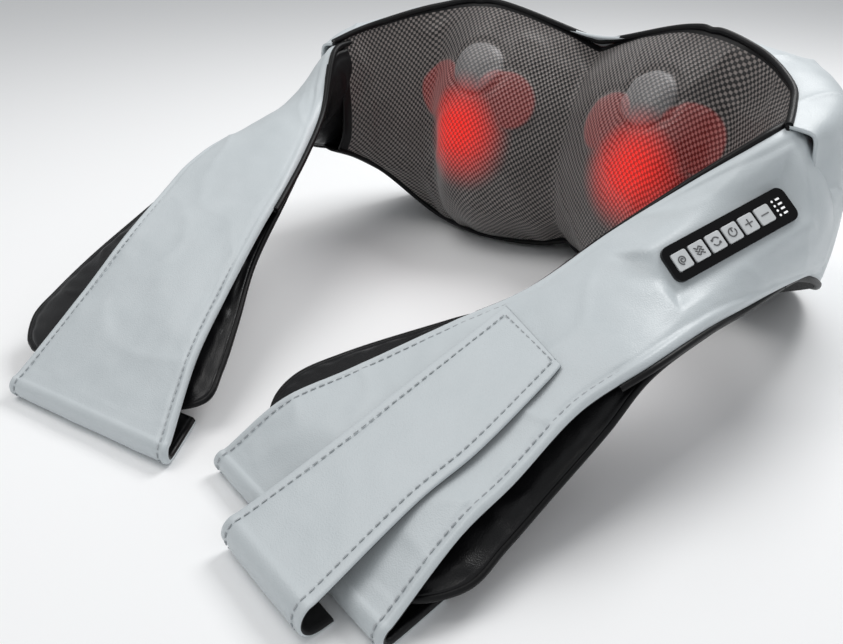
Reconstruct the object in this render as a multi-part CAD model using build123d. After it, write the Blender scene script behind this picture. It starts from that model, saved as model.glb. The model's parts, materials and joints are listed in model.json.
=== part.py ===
from build123d import *
import os
from math import cos, sin, radians, tan, pi, atan2, degrees

# Shiatsu neck massager: a padded neck section that stands on a table, with two
# padded arms that curve forward, twist flat and slope down to the table.
# Origin: on the table under the centre of the neck section.
# +X to the wearer's left-hand arm with the control panel, +Y to the back, +Z up.

# ---------------------------------------------------------------- dimensions
COVER = 4.0             # thickness of the quilted covers
BASE_PANEL = 4.0        # thickness of the base panel
FOAM_WRAP = 5.0         # thickness of the foam round the drive housing
FIT = 0.3               # air between parts that are only laid together
SWING_GAP = 0.6         # air across an arm's hinge line

DRIVE_TILT = 35.0       # the massage heads face forward and up
DRIVE_Y = -76.0
DRIVE_Z = 105.0
HEAD_X = 78.0           # massage head axes, each side of centre
HOUSING_R = 44.0        # round ends of the housing
HOUSING_WAIST = 80.0
HOUSING_DEPTH = 40.0
HOUSING_SPLIT = -14.0
WALL = 2.5

BIG_NODE_R = 13.5
BIG_NODE_ORBIT = 26.5
SMALL_NODE_R = 9.0
SMALL_NODE_ORBIT = 24.0
HEAD_PLATE = 5.0
HEAD_BASE = 3.0         # underside of the head above the housing front

GEAR_MODULE = 1.25
WHEEL_TEETH = 24
WORM_R = 5.0            # worm pitch radius
GEAR_PLANE = -18.0      # mid plane of the worm wheels
WHEEL_WIDTH = 8.0
SHAFT_R = 4.0           # output shaft
MOTOR_R = 14.3
MOTOR_LENGTH = 38.0
SPINDLE_R = 1.6         # motor spindle
BUSH_WALL = 2.0
RUN_FIT = 0.05          # radial running clearance

PANEL_LENGTH = 86.0
PANEL_WIDTH = 21.0
PANEL_DEPTH = 9.0
BEZEL = 1.6
BUTTON_LENGTH = 9.8
BUTTON_WIDTH = 10.4
BUTTON_PITCH = 11.6
BUTTON_COUNT = 6
BUTTON_FIRST = -34.3
BUTTON_TRAVEL = 0.8
BUTTON_PROUD = 0.8

BAND = 4.5              # hand band thickness
BAND_RETURN = 42.0      # length of the band's return under the pad
STRAP = 2.4             # closure strap thickness
STRAP_PATCH = 0.8

WORM_PHASE = 345.0      # turn of the worms at which their threads clear the wheels
WORM_LENGTH = 30.0
SCREW_R = 1.2
BOSS_R = 3.5

WADDING = (50.0, 26.0, 86.0)
WADDING_Z = 112.0
SOCKET_AT = (-60, 20, 40)
SOCKET_R = 5.5
SOCKET_BORE = 3.0
SOCKET_PROUD = 6.0

BAND_FOLD = 15.0        # height of the band where it turns under
PANEL_LIFT = 14.5       # panel face above the middle of the shoulder
LIGHT_PITCH = 2.9       # rows of indicator lights
SHOULDER_LIFT = 7.4     # shoulder covers above and below the arm's middle
STRAP_LIFT = 6.6        # strap flap above the band's middle
STRAP_TIP = (126, -286, 80)
STRAP_END = (51, -25, 0)    # direction of the flap's free end
STRAP_AHEAD = 13.0      # length of the sewn fold beyond the band's tip
# Strap edges at the band's stations, as fractions of the band's width
STRAP_SPAN = [(0.06, 0.62), (0.21, 0.78), (0.32, 0.82), (0.38, 0.82)]
PATCH_INSET = 0.07

PITCH = pi * GEAR_MODULE
WHEEL_R = GEAR_MODULE * WHEEL_TEETH / 2
WORM_Y = -(WHEEL_R + WORM_R)

# Arm outlines, as (inner edge, outer edge) at stations from the neck to the tip.
# The inner edge of an arm is the top edge of the neck section, turned flat.
ARMS = {
    "right": {
        "side": 1,
        "shoulder": [
            ((171, -167, 160), (200, -162, 78), 34),
            ((141, -197, 134), (193, -220, 82), 31),
            ((113, -232, 106), (187, -262, 84), 28),
            ((90, -280, 78), (178, -309, 78), 22),
        ],
        "pad": [
            ((90, -281, 70), (178, -310, 70), 12),
            ((52, -303, 57), (170, -330, 52), 15),
            ((7, -345, 37), (162, -366, 31), 17),
            ((-9, -372, 28), (159, -400, 21), 17),
            ((-5, -393, 22), (157, -424, 16), 16),
            ((14, -408, 17), (142, -443, 13), 12),
        ],
        "band": [
            ((90, -281, 82), (178, -310, 82)),
            ((66, -319, 69), (161, -341, 66)),
            ((34, -369, 50), (153, -386, 46)),
            ((12, -400, 37), (147, -418, 34)),
        ],
        "tip": ((-8, -437, 13), (143, -468, 13)),
    },
    "left": {
        "side": -1,
        "shoulder": [
            ((171, -167, 160), (200, -162, 78), 34),
            ((149, -205, 124), (212, -214, 96), 30),
            ((127, -245, 106), (211, -252, 98), 27),
            ((106, -285, 91), (200, -293, 91), 22),
        ],
        "pad": [
            ((106, -286, 83), (200, -294, 83), 12),
            ((89, -331, 62), (203, -338, 68), 15),
            ((66, -368, 41), (205, -381, 49), 17),
            ((50, -395, 27), (206, -410, 34), 17),
            ((42, -413, 20), (204, -428, 25), 16),
            ((56, -428, 16), (190, -442, 18), 12),
        ],
        "band": [
            ((106, -286, 95), (200, -294, 95)),
            ((92, -320, 81), (187, -332, 83)),
            ((74, -368, 56), (175, -372, 68)),
            ((58, -404, 38), (170, -408, 46)),
        ],
        "tip": ((28, -453, 12), (162, -474, 9)),
    },
}


# ---------------------------------------------------------------- helpers
def save(shape, node):
    """Writes one node from all the solids of a shape."""
    solids = shape.solids()
    part = solids[0] if len(solids) == 1 else Compound(children=list(solids))
    part.label = node
    export_step(part, f"parts/{node}.step")


def group(*shapes):
    return Compound(children=list(shapes))


def unit(v):
    return v.normalized()


def strip_plane(inner, outer, ahead):
    """Plane of a strip's cross-section: x across the strip, z along it, y its face."""
    across = unit(outer - inner)
    along = unit(ahead - across * ahead.dot(across))
    return Plane(origin=(inner + outer) / 2, x_dir=across, z_dir=along)


def strip(stations, side, lift=0.0):
    """Loft of a soft strip through stations of (inner edge, outer edge, thickness)."""
    inner = [Vector(side * s[0][0], s[0][1], s[0][2]) for s in stations]
    outer = [Vector(side * s[1][0], s[1][1], s[1][2]) for s in stations]
    middle = [(a + b) / 2 for a, b in zip(inner, outer)]
    sections = []
    for i, station in enumerate(stations):
        before = middle[max(i - 1, 0)]
        after = middle[min(i + 1, len(middle) - 1)]
        thick = station[2]
        width = (outer[i] - inner[i]).length
        plane = strip_plane(inner[i], outer[i], after - before)
        lifted = plane.origin + plane.y_dir * side * lift
        plane = Plane(origin=lifted, x_dir=plane.x_dir, z_dir=plane.z_dir)
        sections.append(plane * RectangleRounded(width, thick, thick * 0.45))
    return loft(sections)


def flat_end_plane(side, inner, outer):
    """Vertical plane across an arm at its hinge line, facing the arm's tip."""
    across = Vector(side * (outer[0] - inner[0]), outer[1] - inner[1], 0)
    across = unit(across)
    along = Vector(across.Y, -across.X, 0) * side
    middle = Vector(side * (inner[0] + outer[0]) / 2, (inner[1] + outer[1]) / 2, inner[2])
    return Plane(origin=middle, x_dir=across, z_dir=along)


# ---------------------------------------------------------------- neck section
# Station: x, y, turn, belly, back, top_front, top, low. The cross-section is
# measured outward from (x, y) and turns to face along the arm.
NECK_STATIONS = [
    (0, -40, 0, 74, 68, 14, 176, 5),
    (84, -40, 0, 93, 68, 34, 194, 5),
    (146, -62, 34, 58, 55, 30, 188, 10),
    (178, -112, 66, 34, 29, 16, 176, 38),
    (184, -136, 76, 25, 23, 13, 171, 57),
    (187, -159, 84, 19, 18, 10, 165, 73),
]


def neck_outline(belly, back, top_front, top, low):
    """Outer line of the cushion's front, then of its back, each from top to bottom."""
    tall = top - low
    ridge = (-top_front, top)
    front_foot = (-0.55 * belly, low)
    back_foot = (0.88 * back, low)
    front = [
        ridge,
        (-0.5 * belly - 0.3 * top_front, low + 0.88 * tall),
        (-0.86 * belly, low + 0.68 * tall),
        (-belly, low + 0.44 * tall),
        (-0.9 * belly, low + 0.18 * tall),
        front_foot,
    ]
    rear = [
        (ridge[0] + 5.0, ridge[1] + 1.0),
        (0.45 * back, top - 0.03 * tall),
        (0.92 * back, low + 0.76 * tall),
        (back, low + 0.36 * tall),
        back_foot,
    ]
    return front, rear


def drawn_in(points, depth, inward):
    """Points moved by depth to the inward side of the line that they make."""
    moved = []
    for i, (o, z) in enumerate(points):
        before = points[max(i - 1, 0)]
        after = points[min(i + 1, len(points) - 1)]
        run = Vector(after[0] - before[0], after[1] - before[1]).normalized()
        moved.append((o - run.Y * depth * inward, z + run.X * depth * inward))
    return moved


def neck_sections(draw):
    """Faces across the neck from left to right, each drawn by draw(front, rear)."""
    left = [(-s[0], s[1], -s[2]) + s[3:] for s in reversed(NECK_STATIONS[1:])]
    faces = []
    for x, y, turn, belly, back, top_front, top, low in left + NECK_STATIONS:
        a = radians(turn)
        outward = Vector(sin(a), cos(a), 0)
        along = Vector(cos(a), -sin(a), 0)
        plane = Plane(origin=(x, y, 0), x_dir=outward, z_dir=along)
        front, rear = neck_outline(belly, back, top_front, top, low)
        lines = [plane.from_local_coords(edge) for edge in draw(front, rear)]
        faces.append(make_face(lines))
    return faces


def wall_between(line, inner_line):
    return [
        Spline(*line).edge(),
        Line(line[-1], inner_line[-1]).edge(),
        Spline(*reversed(inner_line)).edge(),
        Line(inner_line[0], line[0]).edge(),
    ]


def front_wall(front, rear):
    return wall_between(front, drawn_in(front, COVER, 1))


def rear_wall(front, rear):
    return wall_between(rear, drawn_in(rear, COVER, -1))


def base_plate():
    """Flat panel that closes the cushion underneath."""
    rim = []
    for x, y, turn, belly, back, *_ in NECK_STATIONS[:3]:
        a = radians(turn)
        rim.append([(x + o * sin(a), y + o * cos(a)) for o in (-0.55 * belly, 0.88 * back)])
    near = [(-r[0][0], r[0][1]) for r in reversed(rim[1:])] + [r[0] for r in rim]
    far = [(-r[1][0], r[1][1]) for r in reversed(rim[1:])] + [r[1] for r in rim]
    edges = [Spline(*near), Line(near[-1], far[-1]), Spline(*reversed(far)), Line(far[0], near[0])]
    return extrude(make_face([e.edge() for e in edges]), BASE_PANEL)


# ---------------------------------------------------------------- drive
def drive():
    """Location of the drive frame: x across, z out through the heads."""
    face = Vector(0, -cos(radians(DRIVE_TILT)), sin(radians(DRIVE_TILT)))
    return Plane(origin=(0, DRIVE_Y, DRIVE_Z), x_dir=(1, 0, 0), z_dir=face).location


def housing_outline(grow=0.0):
    ends = Circle(HOUSING_R + grow)
    both = ends.moved(Location((-HEAD_X, 0))) + ends.moved(Location((HEAD_X, 0)))
    return both + Rectangle(2 * HEAD_X, HOUSING_WAIST + 2 * grow)


def cylinder(radius, start, end, x=0.0, y=0.0):
    """Cylinder along z from start to end."""
    return Cylinder(radius, end - start).moved(Location((x, y, (start + end) / 2)))


def rod(radius, start, end, y, z):
    """Cylinder along x from start to end."""
    bar = Cylinder(radius, end - start, rotation=(0, 90, 0))
    return bar.moved(Location(((start + end) / 2, y, z)))


def worm_wheel():
    """Worm wheel about z, with slanted teeth, mid plane at z = 0."""
    lead = atan2(GEAR_MODULE, 2 * WORM_R)
    slant = degrees(WHEEL_WIDTH / 2 * tan(lead) / WHEEL_R)
    root = WHEEL_R - 1.2 * GEAR_MODULE
    tip = WHEEL_R + 0.85 * GEAR_MODULE
    half_root = 0.30 * PITCH / WHEEL_R
    half_tip = 0.10 * PITCH / WHEEL_R
    points = []
    for i in range(WHEEL_TEETH):
        middle = 2 * pi * i / WHEEL_TEETH - pi / 2
        for radius, turn in ((root, -half_root), (tip, -half_tip), (tip, half_tip), (root, half_root)):
            points.append((radius * cos(middle + turn), radius * sin(middle + turn)))
    face = make_face(Polyline(*points, close=True))
    lower = face.moved(Location((0, 0, -WHEEL_WIDTH / 2), (0, 0, -slant)))
    upper = face.moved(Location((0, 0, WHEEL_WIDTH / 2), (0, 0, slant)))
    return loft([lower, upper], ruled=True) - cylinder(SHAFT_R, -WHEEL_WIDTH, WHEEL_WIDTH)


def worm(length):
    """Worm along x, centred on x = 0: its cross-section twisted along its length."""
    root = WORM_R - 1.2 * GEAR_MODULE
    tip = WORM_R + 0.85 * GEAR_MODULE
    foot = 0.6 * pi
    crest = 0.2 * pi
    steps = 6
    rise = []
    for k in range(steps + 1):
        radius = root + (tip - root) * k / steps
        turn = foot - (foot - crest) * k / steps
        rise.append((radius * cos(turn), radius * sin(turn)))
    fall = [(x, -y) for x, y in rise]
    edges = [
        Spline(*rise),
        ThreePointArc(rise[-1], (tip, 0), fall[-1]),
        Spline(*fall),
        ThreePointArc(fall[0], (-root, 0), rise[0]),
    ]
    face = make_face([e.edge() for e in edges]).face()
    turns = 360 * length / PITCH
    body = Solid.extrude_linear_with_rotation(face, (0, 0, 0), (0, 0, length), turns)
    body = body.moved(Location((0, 0, -length / 2))).rotate(Axis.Z, WORM_PHASE)
    return body.rotate(Axis.Y, 90)


# ---------------------------------------------------------------- the parts
os.makedirs("parts", exist_ok=True)
d = drive()

# Covers of the neck section
socket_place = Plane(origin=SOCKET_AT, x_dir=(1, 0, 0), z_dir=(0, 1, 0)).location
socket_hole = cylinder(SOCKET_R + FIT, -20, 20).moved(socket_place)
save(loft(neck_sections(front_wall)), "neck_mesh_cover")
save(loft(neck_sections(rear_wall)) - socket_hole, "neck_back_cover")
save(base_plate(), "base_panel")

# Foam wrapped round the drive housing, open at the front for the heads
wrap = extrude(housing_outline(FOAM_WRAP), HOUSING_DEPTH + FOAM_WRAP - 2)
wrap = wrap.moved(Location((0, 0, -HOUSING_DEPTH - FOAM_WRAP)))
pocket = extrude(housing_outline(FIT), HOUSING_DEPTH + 2 * FIT)
save((wrap - pocket.moved(Location((0, 0, -HOUSING_DEPTH - FIT)))).moved(d), "foam_wrap")

# Wadding that fills each end of the neck section
for name, side in (("left", -1), ("right", 1)):
    x, y, turn = NECK_STATIONS[-3][:3]
    wad = fillet(Box(*WADDING).edges(), WADDING[1] * 0.3)
    turned = Location((side * (x - 4), y, WADDING_Z), (0, 0, -side * turn))
    save(wad.moved(turned), f"{name}_wadding")


# Drive housing, drawn in the drive frame and tilted into place
def housing_half(low, high, open_end):
    """One moulded half: a plate with a wall round it, open at z = open_end."""
    solid = extrude(housing_outline(), high - low).moved(Location((0, 0, low)))
    core = extrude(housing_outline(-WALL), high - low - WALL)
    start = low if open_end == low else low + WALL
    return solid - core.moved(Location((0, 0, start)))


front_half = housing_half(HOUSING_SPLIT, 0, HOUSING_SPLIT)
rear_half = housing_half(-HOUSING_DEPTH, HOUSING_SPLIT, HOUSING_SPLIT)
shaft_hole = SHAFT_R + BUSH_WALL
rear_seat = -HOUSING_DEPTH + WALL
SCREWS = [
    (-HEAD_X - 30, 22),
    (-HEAD_X - 30, -22),
    (0, 33),
    (HEAD_X + 30, 22),
    (HEAD_X + 30, -22),
]
for x in (-HEAD_X, HEAD_X):
    front_half += cylinder(shaft_hole + 2.5, -8, -WALL, x)
    front_half -= cylinder(shaft_hole, -10, 1, x)
    rear_half += cylinder(shaft_hole + 2.5, rear_seat, rear_seat + 6, x)
    rear_half -= cylinder(shaft_hole, rear_seat, rear_seat + 10, x)
for x, y in SCREWS:
    front_half += cylinder(BOSS_R, HOUSING_SPLIT, -WALL, x, y)
    front_half -= cylinder(SCREW_R, HOUSING_SPLIT - 1, HOUSING_SPLIT + 9, x, y)
    rear_half += cylinder(BOSS_R, rear_seat, HOUSING_SPLIT, x, y)
    rear_half -= cylinder(1.75, -HOUSING_DEPTH - 1, HOUSING_SPLIT + 1, x, y)
    rear_half -= cylinder(3.0, -HOUSING_DEPTH - 1, -HOUSING_DEPTH + 4, x, y)
rear_half -= rod(2.5, -HEAD_X - 60, -HEAD_X - 20, 10, -30)
save(front_half.moved(d), "housing_front")
save(rear_half.moved(d), "housing_rear")

screws = []
for x, y in SCREWS:
    head = cylinder(2.9, -HOUSING_DEPTH + 1.0, -HOUSING_DEPTH + 4, x, y)
    screws.append(head + cylinder(SCREW_R, -HOUSING_DEPTH + 4, HOUSING_SPLIT + 8, x, y))
save(group(*screws).moved(d), "housing_screws")

# Motor across the middle, with a worm at each end of its spindle
half = MOTOR_LENGTH / 2
can = rod(MOTOR_R, -half, half, WORM_Y, GEAR_PLANE)
can -= rod(MOTOR_R - 1.2, -half + 1.2, half + 1, WORM_Y, GEAR_PLANE)
can -= rod(SPINDLE_R + 1.5, -half - 1, 0, WORM_Y, GEAR_PLANE)
save(can.moved(d), "motor_can")
cap = rod(MOTOR_R - 1.2 - RUN_FIT, half - 4, half, WORM_Y, GEAR_PLANE)
cap -= rod(SPINDLE_R + 1.5, 0, half + 1, WORM_Y, GEAR_PLANE)
save(cap.moved(d), "motor_end_cap")
magnet = rod(MOTOR_R - 1.3, -12, 12, WORM_Y, GEAR_PLANE)
magnet -= rod(MOTOR_R - 4, -13, 13, WORM_Y, GEAR_PLANE)
gap = Box(40, 60, 6).moved(Location((0, WORM_Y, GEAR_PLANE)))
save((magnet - gap).moved(d), "motor_magnets")
armature = rod(MOTOR_R - 4.8, -10, 10, WORM_Y, GEAR_PLANE)
for k in range(3):
    slot = Box(30, 4, 2.4).moved(Location((0, MOTOR_R - 4.8, 0))).rotate(Axis.X, 120 * k)
    armature -= slot.moved(Location((0, WORM_Y, GEAR_PLANE)))
armature -= rod(SPINDLE_R, -30, 30, WORM_Y, GEAR_PLANE)
save(armature.moved(d), "motor_armature")

spindle_end = HEAD_X + WORM_LENGTH / 2 + 5
spindle = rod(SPINDLE_R, -spindle_end, spindle_end, WORM_Y, GEAR_PLANE)
save(spindle.moved(d), "motor_spindle")
for name, x in (("left", -HEAD_X), ("right", HEAD_X)):
    thread = worm(WORM_LENGTH) - rod(SPINDLE_R, -WORM_LENGTH, WORM_LENGTH, 0, 0)
    save(thread.moved(Location((x, WORM_Y, GEAR_PLANE))).moved(d), f"{name}_worm")

spindle_bushes = []
for x in (-spindle_end + 2, -half + 1.5, half - 1.5, spindle_end - 2):
    bush = rod(SPINDLE_R + 1.4, x - 1.5, x + 1.5, WORM_Y, GEAR_PLANE)
    spindle_bushes.append(bush - rod(SPINDLE_R + RUN_FIT, x - 3, x + 3, WORM_Y, GEAR_PLANE))
save(group(*spindle_bushes).moved(d), "spindle_bushes")

cradle = []
for x in (-half - 5, half + 5):
    foot = Box(3, 12, 24).moved(Location((x, WORM_Y, GEAR_PLANE - 7)))
    cradle.append(foot - rod(SPINDLE_R + 3, x - 3, x + 3, WORM_Y, GEAR_PLANE))
for x in (-spindle_end + 2, spindle_end - 2):
    foot = Box(3, 9, 24).moved(Location((x, WORM_Y, GEAR_PLANE - 7)))
    cradle.append(foot - rod(SPINDLE_R + 1.4, x - 3, x + 3, WORM_Y, GEAR_PLANE))
below_seat = Box(300, 200, 10).moved(Location((0, 0, rear_seat - 5)))
save(group(*[foot - below_seat for foot in cradle]).moved(d), "spindle_supports")


# Massage heads: a two-armed plate with two large and two small nodes
def massage_head():
    """Four-lobed plate on a hub, in the drive frame, on the z axis."""
    plate = Circle(15)
    for angle, orbit, reach in node_places():
        lobe = Circle(reach * 0.65).moved(Location((orbit, 0))) + Circle(12)
        plate += make_hull(lobe.edges()).rotate(Axis.Z, angle)
    solid = extrude(plate, HEAD_PLATE).moved(Location((0, 0, HEAD_BASE)))
    solid -= cylinder(SHAFT_R, 0, 20)
    for angle, orbit, reach in node_places():
        seat = cylinder(reach * 0.35, HEAD_BASE - 1, 30, orbit).rotate(Axis.Z, angle)
        solid -= seat
    return solid


def node_places():
    big = [(a, BIG_NODE_ORBIT, BIG_NODE_R) for a in (0, 180)]
    small = [(a, SMALL_NODE_ORBIT, SMALL_NODE_R) for a in (90, 270)]
    return big + small


def massage_node(orbit, radius, angle):
    """Domed node with a stud through the plate."""
    base = HEAD_BASE + HEAD_PLATE
    dome = Sphere(radius).moved(Location((0, 0, base + 0.35 * radius)))
    dome -= Box(80, 80, 40).moved(Location((0, 0, base - 20)))
    node = dome + cylinder(radius * 0.35, HEAD_BASE, base + 1)
    return node.moved(Location((orbit, 0))).rotate(Axis.Z, angle)


bushes = []
for name, x in (("left", -HEAD_X), ("right", HEAD_X)):
    place = d * Location((x, 0, 0))
    wheel = worm_wheel().moved(Location((0, 0, GEAR_PLANE)))
    save(wheel.moved(place), f"{name}_worm_wheel")
    shaft = cylinder(SHAFT_R, rear_seat + 1, HEAD_BASE + HEAD_PLATE + 1.5)
    save(shaft.moved(place), f"{name}_output_shaft")
    head_angle = 20 if name == "left" else -15
    save(massage_head().rotate(Axis.Z, head_angle).moved(place), f"{name}_massage_head")
    for size, places in (("large", node_places()[:2]), ("small", node_places()[2:])):
        nodes = [massage_node(o, r, a + head_angle) for a, o, r in places]
        save(group(*nodes).moved(place), f"{name}_{size}_nodes")
    for low, high in ((-8, 0), (rear_seat, rear_seat + 6)):
        ring = cylinder(SHAFT_R + BUSH_WALL, low, high)
        bushes.append((ring - cylinder(SHAFT_R + RUN_FIT, low - 1, high + 1)).moved(place))
save(group(*bushes), "output_bushes")

# Heat lamps under each head: a ring of red lamps behind a clear window
for name, x in (("left", -HEAD_X), ("right", HEAD_X)):
    lamps = []
    for k in range(6):
        lamp = cylinder(1.5, 0.2, 2.2, 33).rotate(Axis.Z, 60 * k + 30)
        lamps.append(lamp.moved(Location((x, 0, 0))))
    save(group(*lamps).moved(d), f"{name}_heat_lamps")

# Main circuit board and its parts
board = Box(60, 20, 1.6).moved(Location((0, 17, -24)))
save(board.moved(d), "main_board")
chips = [
    Box(9, 9, 1.6).moved(Location((-10, 17, -22.3))),
    Box(14, 6, 2.4).moved(Location((12, 19, -21.9))),
]
save(group(*chips).moved(d), "board_chips")
standoffs = [cylinder(2.5, rear_seat, -24.8, x, 17) for x in (-26, 26)]
save(group(*standoffs).moved(d), "board_standoffs")

# Power inlet on the back
socket = cylinder(SOCKET_R, -14, 1)
socket -= cylinder(SOCKET_BORE, -10, 2)
socket += cylinder(1.0, -11, -2)
flange = cylinder(SOCKET_R + 3, 0, 1.6) - cylinder(SOCKET_BORE, -1, 3)
save(socket.moved(socket_place * Location((0, 0, SOCKET_PROUD))), "power_inlet")
save(flange.moved(socket_place * Location((0, 0, SOCKET_PROUD + 1.05))), "inlet_ring")


# ---------------------------------------------------------------- control panel
def panel_plane():
    """Frame of the control panel: x along the arm towards the neck, z out of it."""
    near, far = ARMS["right"]["shoulder"][2], ARMS["right"]["shoulder"][0]
    middle = ARMS["right"]["shoulder"][1]
    along = unit((Vector(*far[0]) + Vector(*far[1])) - (Vector(*near[0]) + Vector(*near[1])))
    across = unit(Vector(*middle[1]) - Vector(*middle[0]))
    outward = unit(across.cross(along))
    centre = (Vector(*middle[0]) + Vector(*middle[1])) / 2
    centre += outward * PANEL_LIFT
    return Plane(origin=centre, x_dir=along, z_dir=outward)


p = panel_plane().location
pocket = Box(PANEL_LENGTH + 2 * FIT, PANEL_WIDTH + 2 * FIT, 40)
panel_pocket = pocket.moved(Location((0, 0, 20 - PANEL_DEPTH - FIT))).moved(p)

tray = extrude(RectangleRounded(PANEL_LENGTH, PANEL_WIDTH, 5), PANEL_DEPTH - BEZEL)
tray_space = extrude(RectangleRounded(PANEL_LENGTH - 4, PANEL_WIDTH - 4, 3), PANEL_DEPTH)
tray -= tray_space.moved(Location((0, 0, 1.5)))
save(tray.moved(Location((0, 0, -PANEL_DEPTH))).moved(p), "control_tray")

buttons_x = [BUTTON_FIRST + BUTTON_PITCH * k for k in range(BUTTON_COUNT)]
dots = [(32.6, LIGHT_PITCH * (k - 1.5)) for k in range(4)]
bars = [(36.4, LIGHT_PITCH * (k - 1.5)) for k in range(4)]
bezel = extrude(RectangleRounded(PANEL_LENGTH, PANEL_WIDTH, 5), BEZEL)
for x in buttons_x:
    bezel -= Box(BUTTON_LENGTH + 0.4, BUTTON_WIDTH + 0.4, 10).moved(Location((x, 0)))
for x, y in bars:
    bezel -= Box(3.0, 1.3, 10).moved(Location((x, y)))
for x, y in dots:
    bezel -= Cylinder(0.8, 10).moved(Location((x, y)))
save(bezel.moved(Location((0, 0, -BEZEL))).moved(p), "control_bezel")

BUTTONS = ["mode_button", "knead_button", "direction_button", "heat_button", "plus_button", "minus_button"]
board_top = -PANEL_DEPTH + 3.1
for x, node in zip(buttons_x, BUTTONS):
    cap = extrude(RectangleRounded(BUTTON_LENGTH, BUTTON_WIDTH, 1.2), BEZEL + BUTTON_PROUD + 0.2)
    cap = fillet(cap.edges().group_by(Axis.Z)[-1], 0.4).moved(Location((0, 0, -BEZEL - 0.2)))
    rim = Box(BUTTON_LENGTH + 1.2, BUTTON_WIDTH + 3, 0.9).moved(Location((0, 0, -BEZEL - 0.65)))
    stem = cylinder(1.6, -BEZEL - 2.0, -BEZEL - 1)
    save((cap + rim + stem).moved(Location((x, 0, 0))).moved(p), node)

switches = []
for x in buttons_x:
    case = Box(6, 6, 0.8).moved(Location((x, 0, board_top + 0.45)))
    switches.append(case)
save(group(*switches).moved(p), "tact_switches")
control_board = Box(PANEL_LENGTH - 6, PANEL_WIDTH - 6, 1.5)
save(control_board.moved(Location((0, 0, board_top - 0.75))).moved(p), "control_board")
guides = [Box(2.8, 1.1, -board_top - 0.2).moved(Location((x, y, board_top / 2 - 0.05))) for x, y in bars]
guides += [cylinder(0.7, board_top + 0.05, -0.15, x, y) for x, y in dots]
save(group(*guides).moved(p), "indicator_light_guides")


# ---------------------------------------------------------------- arms
def fold_profile(length, rise, fold, thick, back):
    """Closed side profile of a band's end, x ahead and y up, tip at x = 0."""
    r = fold / 2
    joint = (-r, fold)
    outside = [
        Line((-length, rise), joint).edge(),
        ThreePointArc(joint, (0, r), (-r, 0)).edge(),
        Line((-r, 0), (-back, 0)).edge(),
    ]
    inside = [
        Line((-back, 0), (-back, thick)).edge(),
        Line((-back, thick), (-r, thick)).edge(),
        ThreePointArc((-r, thick), (-thick, r), (-r, fold - thick)).edge(),
        Line((-r, fold - thick), (-length, rise - thick)).edge(),
        Line((-length, rise - thick), (-length, rise)).edge(),
    ]
    return make_face(outside + inside)


def end_frame(arm, side):
    """Frame at an arm's tip on the table: x ahead, y up, z across, and the tip's width."""
    inner, outer = [Vector(side * e[0], e[1], 0) for e in arm["tip"]]
    across = outer - inner
    width = across.length
    across = unit(across) * side
    ahead = Vector(across.Y, -across.X, 0)
    plane = Plane(origin=(inner + outer) / 2, x_dir=ahead, z_dir=ahead.cross(Vector(0, 0, 1)))
    return plane, width


def neck_end_block(side):
    """Block that fills the neck's side of its end plane."""
    x, y, turn = NECK_STATIONS[-1][:3]
    a = radians(turn)
    end = Plane(origin=(side * x, y, 100), z_dir=(side * cos(a), -sin(a), 0))
    return Box(400, 400, 200).moved(Location((0, 0, FIT - 100))).moved(end.location)


def plan_prism(*corners):
    """Upright prism over a plan outline."""
    return extrude(make_face(Polyline(*corners, close=True)), 300)


def band_end(arm, side, high, low, thick, back, ahead=0.0):
    """Straight end of a band: from its last station over the fold, and back below."""
    plane, width = end_frame(arm, side)
    start = sum((Vector(side * e[0], e[1], 0) for e in arm["band"][-1]), Vector()) / 2
    length = (plane.origin - start).dot(plane.x_dir) - 2
    profile = fold_profile(length, high, low, thick, back)
    return extrude(plane * profile, width, both=True).moved(Location(plane.x_dir * ahead))


def trimmed(solid, arm, side, low=0.0, high=1.0):
    """Cuts a band's end to the arm's outline, from fraction low to high of its width."""
    corners = []
    for inner, outer in (arm["band"][-1], arm["tip"]):
        a = Vector(side * inner[0], inner[1], 0)
        b = Vector(side * outer[0], outer[1], 0)
        corners.append((a + (b - a) * low, a + (b - a) * high))
    (a0, b0), (a1, b1) = corners
    a2 = a1 + (a1 - a0) * 0.8
    b2 = b1 + (b1 - b0) * 0.8
    a00 = a0 - (a1 - a0) * 0.5
    b00 = b0 - (b1 - b0) * 0.5
    outline = [(v.X, v.Y) for v in (a00, a0, a1, a2, b2, b1, b0, b00)]
    return solid & plan_prism(*outline)


def across_band(arm, fractions, lift):
    """Stations of a narrower strip on a band, as fractions of the band's width."""
    stations = []
    for (inner, outer), (low, high) in zip(arm["band"], fractions):
        a, b = Vector(*inner), Vector(*outer)
        stations.append((tuple(a + (b - a) * low), tuple(a + (b - a) * high), lift))
    return stations


for name, arm in ARMS.items():
    side = arm["side"]
    stations = arm["shoulder"]
    layers = [(a, b, t * 0.42) for a, b, t in stations]
    cover = strip(layers, side, lift=SHOULDER_LIFT)
    lining = strip(layers, side, lift=-SHOULDER_LIFT)
    hinge = flat_end_plane(side, *stations[-1][:2])
    beyond = Box(300, 300, 200).moved(Location((0, 0, 100))).moved(hinge.location)
    before = Box(300, 300, 200).moved(Location((0, 0, SWING_GAP - 100))).moved(hinge.location)
    neck_side = neck_end_block(side)
    cover = cover - beyond - neck_side
    lining = lining - beyond - neck_side
    if side > 0:
        cover -= panel_pocket
        lining -= panel_pocket
    save(cover, f"{name}_shoulder_cover")
    save(lining, f"{name}_shoulder_lining")
    pad = strip(arm["pad"], side) - before
    rise = (arm["band"][-1][0][2] + arm["band"][-1][1][2] + BAND) / 2
    band = strip([(a, b, BAND) for a, b in arm["band"]], side) - before
    end = trimmed(band_end(arm, side, rise, BAND_FOLD, BAND, BAND_RETURN), arm, side)
    save(pad, f"{name}_arm_pad")
    save(band + end, f"{name}_hand_band")

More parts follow.
